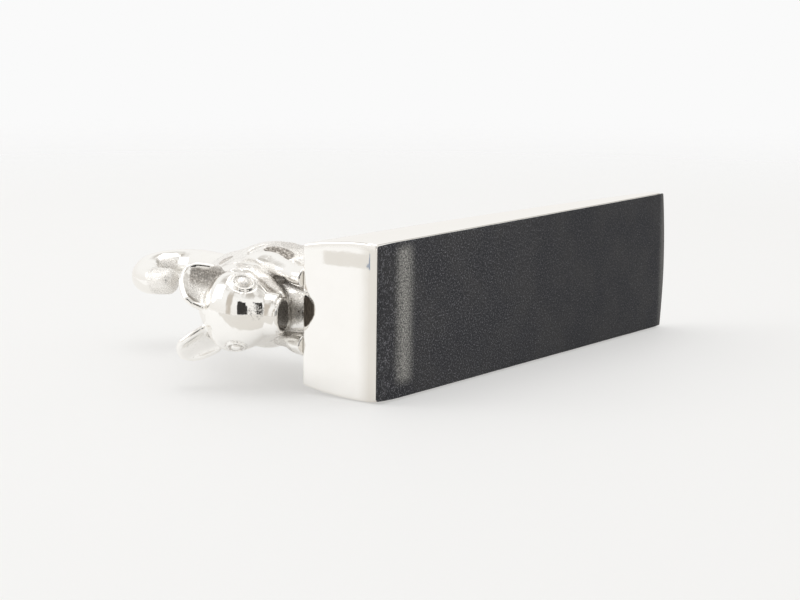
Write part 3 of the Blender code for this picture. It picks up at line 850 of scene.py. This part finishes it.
def forelegs():
    """Two legs that differ a little: one leans outward and its shoulder is fuller."""
    leaning = limb([
        (10.4, 7.8, 16.6, 3.2, 4.6), (10.3, 6.0, 11.4, 2.5, 3.7), (9.9, 4.2, 6.8, 2.2, 3.1),
        (9.5, 3.0, 3.2, 2.6, 3.5), (9.4, 2.4, -1.0, 2.9, 4.0),
    ])
    upright = limb([
        (-7.6, 7.8, 15.0, 3.2, 4.6), (-7.7, 5.6, 9.6, 2.5, 3.6), (-7.8, 3.9, 5.8, 2.4, 3.2),
        (-8.2, 2.9, 2.8, 2.8, 3.5), (-8.3, 2.2, -2.0, 3.1, 4.1),
    ])
    return [
        added(ball((8.6, 8.8, 19.4), (5.2, 6.0, 8.4), -25), 1.6),
        added(ball((-7.4, 8.8, 19.0), (4.6, 6.0, 8.2), -25), 1.6),
        added(leaning, 1.2),
        added(upright, 1.2),
    ]


def webs():
    """Metal that fills the room between the forelegs, and between the hind legs."""
    front = limb([(0, 8.0, 16.0, 7.6, 7.0), (0, 7.6, 6.0, 7.8, 6.8), (0, 7.2, -3.0, 7.6, 6.4)])
    rear = limb([(0, 27.5, 22.0, 6.8, 7.0), (0, 28.6, 8.0, 5.2, 5.2), (0, 29.0, -9.0, 5.0, 4.6)])
    return [added(front, 0.8), added(rear, 0.8)]


def head_limb(stops, trim=None):
    """A limb from stops of along and out on the head, half width and half depth."""
    return limb([(*head_place(along, out), wide, deep) for along, out, wide, deep in stops], trim=trim)


def jaw_and_jowls():
    jaw = head_limb([
        (3.6, -3.4, 4.0, 2.6), (8.0, -4.8, 5.4, 3.6), (13.0, -6.0, 8.6, 5.4),
        (17.0, -7.0, 10.2, 6.2),
    ])
    forms = [added(jaw, 0.8)]
    for side in (1, -1):
        forms.append(added(round_limb([
            (side * 7.6, 4.2, 27.1, 2.4), (side * 8.4, 3.0, 23.1, 2.7),
            (side * 8.0, 2.4, 18.7, 2.8), (side * 7.0, 2.0, 14.9, 2.8),
            (side * 5.3, 1.3, 11.5, 2.8), (side * 3.9, 0.3, 8.1, 2.4),
            (side * 2.9, -0.8, 6.1, 1.8),
        ]), 0.5))
    return forms


def folds():
    lines = (FACE_EDGE, NECK_FOLD, SHOULDER_LINE, FLANK_CREASE, HAUNCH_LINE, BACK_FOLD)
    dots = [taken(ball(spot, (0.75, 0.75, 0.75)), 0.15) for spot in MOUTH_DOTS]
    return [taken(round_limb(line), 0.35) for line in lines] + dots


def eyes(skull):
    """An eyeball inside a raised ring, each with a fine groove round it."""
    forms = []
    for along, out, across, facing, size in EYES:
        centre = head_place(along, out, across)

        def ring(wide, high, wire):
            return loop_on(skull[1], centre, facing, (wide * size, high * size), wire)

        forms += [
            taken(ring(3.25, 3.5, 0.2), 0.12),
            added(ring(2.65, 2.85, 0.36), 0.25),
            taken(ring(1.95, 2.15, 0.32), 0.15),
            added(lens(centre, facing, (1.5 * size, 1.7 * size, 0.65)), 0.2),
        ]
    return forms


def pig_forms():
    """Every form in turn; the empty one marks where the wedge's top cuts off what came before."""
    skull = head_limb([
        (1.0, 0.0, 4.9, 4.4), (2.6, 0.0, 5.7, 4.7), (5.0, 0.0, 5.9, 4.9),
        (7.0, 0.2, 6.5, 5.4), (9.2, 0.4, 8.2, 6.8), (12.0, 0.3, 9.9, 7.9),
        (14.5, -0.1, 10.4, 7.5), (16.4, -1.0, 9.6, 5.5),
    ], trim=0.9)
    return [
        *trunk_and_neck(), *hind_leg(1), *hind_leg(-1), *forelegs(), *webs(), *jaw_and_jowls(), *folds(),
        added(skull, 0.35), added(leaf(UPPER_EAR), 1.2), added(leaf(LOWER_EAR), 1.2),
        taken(None, 0), added(disc(DISC_RADIUS, DISC_DEPTH, 0.62), 0.15), *eyes(skull),
    ]


# Pig's mesh

def pig_field(p, forms):
    """Signed distance from the pig's surface."""
    d = np.full(len(p), FAR)
    for form, fillet, away in forms:
        if form is None:
            seat = (SEAT_GAP - SLOPE * p[:, 1] - p[:, 2]) / math.sqrt(1 + SLOPE * SLOPE)
            d = np.maximum(d, seat)
            continue
        (low, high), distance = form
        margin = fillet + 3.0
        near = np.all((p > low - margin) & (p < high + margin), axis=1)
        if not near.any():
            continue
        blend = carve if away else melt
        d[near] = blend(d[near], distance(p[near]), fillet)
    return d


def skin(field, origin, step):
    """Skins the zero level of a grid with quads, one point in each cell that it crosses."""
    inside = field < 0
    count = np.zeros([n - 1 for n in field.shape], int)
    corners = [np.array((i, j, k)) for i in (0, 1) for j in (0, 1) for k in (0, 1)]
    for i, j, k in corners:
        count += inside[i:i - 1 or None, j:j - 1 or None, k:k - 1 or None]
    cells = np.argwhere((count > 0) & (count < 8))
    index = np.full(count.shape, -1)
    index[tuple(cells.T)] = np.arange(len(cells))
    total = np.zeros((len(cells), 3))
    hits = np.zeros(len(cells))
    for first in corners:
        for axis in range(3):
            if first[axis]:
                continue
            second = first.copy()
            second[axis] = 1
            a = field[tuple((cells + first).T)]
            b = field[tuple((cells + second).T)]
            cross = (a < 0) != (b < 0)
            t = np.where(cross, a / np.where(cross, a - b, 1.0), 0.0)
            total += np.where(cross[:, None], first + t[:, None] * (second - first), 0.0)
            hits += cross
    points = origin + (cells + total / hits[:, None]) * step
    quads = []
    for axis in range(3):
        u, v = (axis + 1) % 3, (axis + 2) % 3
        a = inside[tuple(slice(None, -1) if n == axis else slice(1, -1) for n in range(3))]
        b = inside[tuple(slice(1, None) if n == axis else slice(1, -1) for n in range(3))]
        for leaving in (True, False):
            edge = np.argwhere((a & ~b) if leaving else (~a & b))
            edge[:, u] += 1
            edge[:, v] += 1
            around = []
            for du, dv in ((-1, -1), (0, -1), (0, 0), (-1, 0)):
                cell = edge.copy()
                cell[:, u] += du
                cell[:, v] += dv
                around.append(index[tuple(cell.T)])
            quad = np.stack(around, 1)
            quads.append(quad if leaving else quad[:, ::-1])
    return points, np.concatenate(quads)


def steepness(p, forms, reach=0.03):
    """The field's gradient at some places."""
    slope = np.zeros_like(p)
    for axis in range(3):
        shift = np.zeros(3)
        shift[axis] = reach
        slope[:, axis] = pig_field(p + shift, forms) - pig_field(p - shift, forms)
    return slope / (2 * reach)


def sculpt(forms, step):
    """Skins the pig and draws every point on to its exact surface.

    The field is worked out in full only in the blocks of cells that the surface may cross.
    """
    low = np.array(PIG_LOW)
    block = step * BLOCK_CELLS
    n = np.ceil((np.array(PIG_HIGH) - low) / block).astype(int)
    axes = [low[i] + (np.arange(n[i]) + 0.5) * block for i in range(3)]
    centres = np.stack(np.meshgrid(*axes, indexing="ij"), -1).reshape(-1, 3)
    value = pig_field(centres, forms).reshape(n)

    def spread(a):
        for axis in range(3):
            a = np.repeat(a, BLOCK_CELLS, axis)
        return a

    grid = spread(value)
    where = np.argwhere(spread(np.abs(value) < block * BLOCK_MARGIN))
    grid[tuple(where.T)] = pig_field(low + where * step, forms)
    points, quads = skin(grid, low, step)
    for turn in range(2):
        slope = steepness(points, forms)
        slope /= np.maximum((slope * slope).sum(1), 0.25)[:, None]
        off = np.clip(pig_field(points, forms), -step, step)
        points = points - off[:, None] * slope
    return points, quads


# Where the casting's grain is left, and where shade is painted darker

# Centre, radii and strength of each place where grain is left, from the head back to the tail; the strongest
# also paint shade darker in creases and folds
GRAIN_AND_SHADE_ZONES = [
    ((9.4, -6.8, 21.6), (3.2, 4.2, 4.6), 0.76),  # ear's root
    ((8.9, -8.4, 12.2), (3.2, 4.6, 4.6), 0.56),  # below the eye
    ((1.2, -11.0, 6.5), (2.9, 2.8, 2.6), 0.44),  # forehead
    ((1.4, -10.7, 6.2), (1.8, 2.4, 2.6), 0.42),  # bridge of the snout
    ((6.9, -0.8, 10.6), (2.8, 2.6, 5.8), 0.76),  # jowl
    ((11.0, 2.2, 21.2), (2.2, 2.6, 2.6), 0.74),  # neck fold
    ((10.1, 2.6, 14.0), (2.4, 3.0, 5.0), 0.66),  # upper foreleg
    ((1.0, 2.0, 4.0), (5.0, 3.5, 7.0), 0.72),  # between the forelegs
    ((-9.8, 1.8, 7.0), (3.0, 4.0, 6.5), 0.70),  # other foreleg
    ((9.2, 14.0, 37.0), (2.4, 3.6, 2.4), 0.80),  # back fold
    ((12.0, 20.0, 23.2), (2.8, 2.6, 6.4), 0.90),  # flank crease
    ((13.0, 24.0, 22.0), (5.0, 7.0, 9.0), 0.68),  # haunch
    ((13.6, 27.2, 22.0), (3.0, 6.0, 7.0), 0.74),  # haunch line
    ((1.9, 31.6, 72.8), (3.4, 3.4, 3.4), 0.66),  # inside the tail's curl
    ((-0.4, 23.4, 66.0), (6.0, 6.0, 8.0), 0.62),  # tail's tip
]
GRAIN_AND_SHADE_CORNER_CAP = 0.72
# Painted shade: the side towards the table is made greyer, growing from 1 to 4 mm across from the middle
TABLE_SIDE_SHADE = (0.36, (-1.0, -4.0))
BODY = (0.46, (6.0, 12.0))

# An ear's hollow keeps grain and is painted darker inside its rims, at the tip and at each side, told in
# shares of the leaf;
# its two strengths meet between the last two
EAR_RIMS = ((0.90, 0.84), (0.07, 0.12), (0.97, 0.94))
EAR_MEETING = (0.30, 0.55)
EAR_REACH = 1.6

# Tail's own form for that, a little inside its surface
TAIL_CORE = 4.9
TAIL_CORE_THINS = 1.6


def faded(value, start, end):
    """0 at the start and 1 at the end, in a straight line between, and held beyond."""
    return np.clip((value - start) / (end - start), 0.0, 1.0)


def grain_and_shade_amount(points, normal, field):
    """How much of the casting's grain is left, and how much shade is painted darker: deep corners and
    creases, and places the wheel can't reach.
    """
    deep = np.zeros(len(points))
    for reach, share in ((0.8, 0.3), (1.8, 0.4), (3.2, 0.3)):
        room = field(points + normal * reach) / reach
        deep += share * np.clip(1.0 - room, 0.0, 1.0)
    deep = np.minimum(deep, GRAIN_AND_SHADE_CORNER_CAP)
    for centre, radii, strength in GRAIN_AND_SHADE_ZONES:
        off = (((points - np.array(centre)) / np.array(radii)) ** 2).sum(1)
        deep = np.maximum(deep, strength * faded(off, 1.0, 0.6))
    return deep


def hollow_share(grid, points, inner, outer):
    """How much grain and painted shade an ear's hollow side has inside its rim: one value near the crown, one
    outside.
    """
    sheet, tree, shares = leaf_sheet(grid)
    dull_and_shaded = np.zeros(len(points))
    near = np.all((points > sheet.min(0) - 2.0) & (points < sheet.max(0) + 2.0), axis=1)
    for k in np.flatnonzero(near):
        spot = Vector(points[k])
        nearest, facing, index, gap = tree.find_nearest(spot)
        if facing.y > 0:
            facing = -facing
        if gap > EAR_REACH or (spot - nearest).dot(facing) < gap * 0.5:
            continue
        u, v = shares[index]
        in_rim = min(faded(share, *rim) for share, rim in zip((u, v, v), EAR_RIMS))
        dull_and_shaded[k] = (inner + (outer - inner) * faded(v, *EAR_MEETING)) * in_rim
    return dull_and_shaded


def disc_face(points):
    """1 on the flat face of the snout's disc, inside its bright rim, where a dark reflection is painted on.
    """
    on_head = to_head(points)
    off = np.sqrt(on_head[:, 0] ** 2 + on_head[:, 2] ** 2)
    return faded(on_head[:, 1], 0.12, 0.02) * faded(off, DISC_RADIUS - 0.5, DISC_RADIUS - 0.65)


def keep_value(mesh, name, values):
    kept = mesh.attributes.new(name, "FLOAT", "POINT")
    kept.data.foreach_set("value", values)


def make_pig(nickel, forms):
    points, quads = sculpt(forms, CELL)
    slope = steepness(points, forms)
    normal = slope / np.maximum(np.linalg.norm(slope, axis=1), 1e-6)[:, None]
    mesh = bpy.data.meshes.new("pig_cast")
    mesh.from_pydata([place(*p) for p in points.tolist()], [], quads.tolist())
    mesh.update()
    # Grain left by the wheel, and painted shade in corners, creases, ear hollows and on the table side
    keep_value(mesh, "grain_and_shade", np.max([
        grain_and_shade_amount(points, normal, lambda p: pig_field(p, forms)),
        # Painted shade on the side towards the table
        TABLE_SIDE_SHADE[0] * faded(points[:, 0], *TABLE_SIDE_SHADE[1]),
        BODY[0] * faded(points[:, 1], *BODY[1]),
        hollow_share(UPPER_EAR, points, 0.56, 0.84),
        hollow_share(LOWER_EAR, points, 0.40, 0.40),
    ], axis=0))
    keep_value(mesh, "painted_dark_reflection", disc_face(points))
    mesh.shade_smooth()
    mesh.materials.append(nickel)
    return put("pig_cast", mesh)


def grain_and_shade_tail(tail, forms):
    """Keeps the grain, and paints shade darker, where the tail's two strands and the pig face each other."""
    mesh = tail.data
    flat = np.zeros(len(mesh.vertices) * 3)
    mesh.vertices.foreach_get("co", flat)
    points = flat.reshape(-1, 3) / MM - np.array([0.0, END_Y, THICK_END])
    mesh.vertices.foreach_get("normal", flat)
    normal = flat.reshape(-1, 3)
    stops = []
    for i, stop in enumerate(TAIL_PATH):
        late = faded(i / (len(TAIL_PATH) - 1), TAIL_THINS_FROM, 1.0)
        stops.append((*stop, TAIL_CORE - TAIL_CORE_THINS * late))
    both = [added(round_limb(stops), 0)] + forms
    keep_value(mesh, "grain_and_shade", grain_and_shade_amount(points, normal, lambda p: pig_field(p, both)))


# Camera, table and light

def make_camera():
    camera = put("camera", bpy.data.cameras.new("camera"))
    camera.data.lens = CAMERA_LENS
    camera.data.sensor_width = 36.0
    turn = Matrix((CAMERA_RIGHT, CAMERA_UP, CAMERA_BACK)).transposed().normalized()
    camera.matrix_world = Matrix.Translation(CAMERA_PLACE) @ turn.to_4x4()
    bpy.context.scene.camera = camera


def flat_panel(name, centre, normal, size, material):
    """A flat stage panel that faces along its normal."""
    mesh = bpy.data.meshes.new(name)
    turn = Vector(normal).to_track_quat("Z", "Y").to_matrix()
    corners = [Vector((x * size[0] / 2, y * size[1] / 2, 0)) for x, y in ((-1, -1), (1, -1), (1, 1), (-1, 1))]
    mesh.from_pydata([Vector(centre) + turn @ corner for corner in corners], [], [(0, 1, 2, 3)])
    mesh.materials.append(material)
    panel = put(name, mesh)
    return panel


def table_painted_reflection(s):
    """A reflection painted on the table for glossy rays only: white with a beige edge, a gap and a blue
    corner, for the metal to mirror.

    It is told in millimetres: forward from the wedge's end face, and aside as the height on that
    face at which the photograph's camera sees the place mirrored.
    """
    y, z = s.parts(s.out(s.node("ShaderNodeNewGeometry"), "Position"))[1:]
    forward = (END_Y * MM - y) * (1.0 / MM)
    aside = (z * (1.0 / MM) - forward * SHEET_SLANT) / (1.0 + forward * SHEET_SPREAD)
    white = s.between(aside, *SHEET_EDGE) * s.between(forward, *SHEET_START)
    gap = s.window(forward, *GAP_SPAN) * s.between(aside, *GAP_TOP, 1.0, 0.0)
    corner = s.window(forward, *CORNER_SPAN) * s.between(aside, *CORNER_FOOT)
    corner = corner * s.between(s.between(forward, *CORNER_SLANT) - aside, -0.3, 0.3)
    seen = s.mix(white * (1.0 - gap), PAINTED_REFLECTION_BEIGE, PAINTED_REFLECTION_WHITE)
    return s.mix(corner, seen, PAINTED_REFLECTION_BLUE)


def table_material():
    """A white table that shows from its face and not from behind, and fades out with distance; glossy rays
    see a painted reflection on it, and part of it glows to camera and glossy rays.
    """
    material, s, shader = new_material("white_table")[:3]
    path = s.node("ShaderNodeLightPath")
    glossy = s.out(path, "Is Glossy Ray")
    colour = s.mix(glossy, TABLE_WHITE, table_painted_reflection(s))
    s.feed_all(shader, {"Base Color": colour, "Roughness": 0.6, "Specular IOR Level": 0.2})
    # Part of the table glows to camera and glossy rays; in what the metal mirrors this is painted light that
    # lightens the table's shadows
    glow = s.node("ShaderNodeEmission", {"Color": colour})
    shown = s.higher(s.out(path, "Is Camera Ray"), glossy)
    lit = s.node("ShaderNodeMixShader", {0: shown * 0.42, 1: s.out(shader), 2: glow})
    spot = s.node("ShaderNodeNewGeometry")
    away = s.node("ShaderNodeVectorMath", {0: s.out(spot, "Position"), 1: (TABLE_X, 0.0, 0.03)},
                  operation="DISTANCE")
    far = s.between(s.out(away, "Value"), *TABLE_FADES)
    gone = s.higher(s.out(spot, "Backfacing"), far)
    clear = s.node("ShaderNodeBsdfTransparent")
    surface = s.node("ShaderNodeMixShader", {0: gone, 1: lit, 2: clear})
    s.feed(s.nodes["Material Output"].inputs["Surface"], surface)
    return material


def card_material():
    material, sheet, shader = new_material("dark_card")[:3]
    sheet.feed_all(shader, {"Base Color": (*CARD_BLACK, 1.0), "Roughness": 0.9})
    return material


def softbox(name, centre, target, size, power):
    lamp = bpy.data.lights.new(name, "AREA")
    lamp.size = size
    lamp.energy = power
    box = put(name, lamp)
    box.location = centre
    box.rotation_euler = (Vector(target) - Vector(centre)).to_track_quat("-Z", "Y").to_euler()


def make_world():
    """White surroundings; what the metal mirrors of them has form, as a photographer's room has.

    Up is the photograph's up, which is across the part. High up the room shows in patches, a beige
    band lies towards the camera, and a grey one behind the part.
    """
    world = bpy.data.worlds.new("white_surroundings")
    bpy.context.scene.world = world
    world.use_nodes = True
    s = Sheet(world.node_tree)
    path = s.node("ShaderNodeLightPath")
    where = s.out(s.node("ShaderNodeTexCoord"), "Generated")
    up, back, side = s.parts(where)
    overhead = s.between(up, -0.05, 0.55)
    near = s.mix(overhead, ROOM_LOW, ROOM_HIGH)
    band = s.between(abs(side - 0.08), 0.07, 0.17, 1.0, 0.0) * s.math("LESS_THAN", back, 0.0)
    near = s.mix(band, near, ROOM_BAND)
    patches = s.between(s.grain(where, 0.42, 2.0, 0.5), 0.42, 0.58)
    room = s.mix(patches, PATCH_DARK, PATCH_BRIGHT)
    mirrored = s.mix(s.between(up, 0.60, 0.86), near, room)
    wall = s.between(back, 0.48, 0.76) * s.between(abs(side - 0.02), 0.07, 0.22, 1.0, 0.0)
    mirrored = s.mix(wall, mirrored, ROOM_WALL)
    even = s.mix(overhead, EVEN_LOW, EVEN_HIGH)
    metal = s.higher(s.out(path, "Is Glossy Ray"), s.out(path, "Is Transmission Ray"))
    colour = s.mix(s.out(path, "Is Camera Ray"), s.mix(metal, even, mirrored), BACKDROP)
    s.feed(s.nodes["Background"].inputs["Color"], colour)


def make_stage():
    """The table, two dark cards that only the metal mirrors, and two softboxes."""
    flat_panel("table", (TABLE_X, 0.6, 0.4), (1, 0, 0), (6.0, 6.0), table_material())
    behind = Vector((0.0, CAMERA_BACK.y, CAMERA_BACK.z)).normalized()
    aside = Vector((0.0, CAMERA_RIGHT.y, CAMERA_RIGHT.z)).normalized()
    beside = Vector((0.0, -0.22, -0.975)).normalized()
    dark = card_material()
    for name, spot, facing, size in (
        ("dark_card", behind * 0.95 - aside * 0.14 + Vector((0.30, 0.0, 0.0)), behind, (0.62, 0.42)),
        ("dark_card_beside", beside * 0.95 + Vector((0.26, 0.0, 0.0)), beside, (0.78, 0.64)),
    ):
        card = flat_panel(name, spot, -facing, size, dark)
        card.visible_camera = False
        card.visible_shadow = False
        card.visible_diffuse = False
    softbox("top_softbox", (1.1, 0.05, 0.20), (0, 0, 0.02), 0.9, 2.3)
    softbox("left_softbox", (0.55, -0.55, 0.75), (0, -0.03, 0.03), 0.6, 1.1)


make_camera()
make_world()
make_stage()
cast_nickel = cast_nickel_material()
wedge, sole = make_wedge_and_sole(plain_nickel_material(), rubber_material())
pig_shape = pig_forms()
pig = make_pig(cast_nickel, pig_shape)
tail = make_tail(cast_nickel)
grain_and_shade_tail(tail, pig_shape)
for piece, node, slot in ((wedge, "wedge_body", "polished_nickel"), (sole, "rubber_sole", "black_rubber"),
                          (pig, "pig_casting", "polished_nickel"), (tail, "tail_casting", "polished_nickel")):
    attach(piece, "root")
    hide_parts(node)

steel = steel_material()
for name in ("fixing_screw_front", "fixing_screw_rear"):
    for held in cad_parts[name].material_slots:
        held.material = steel
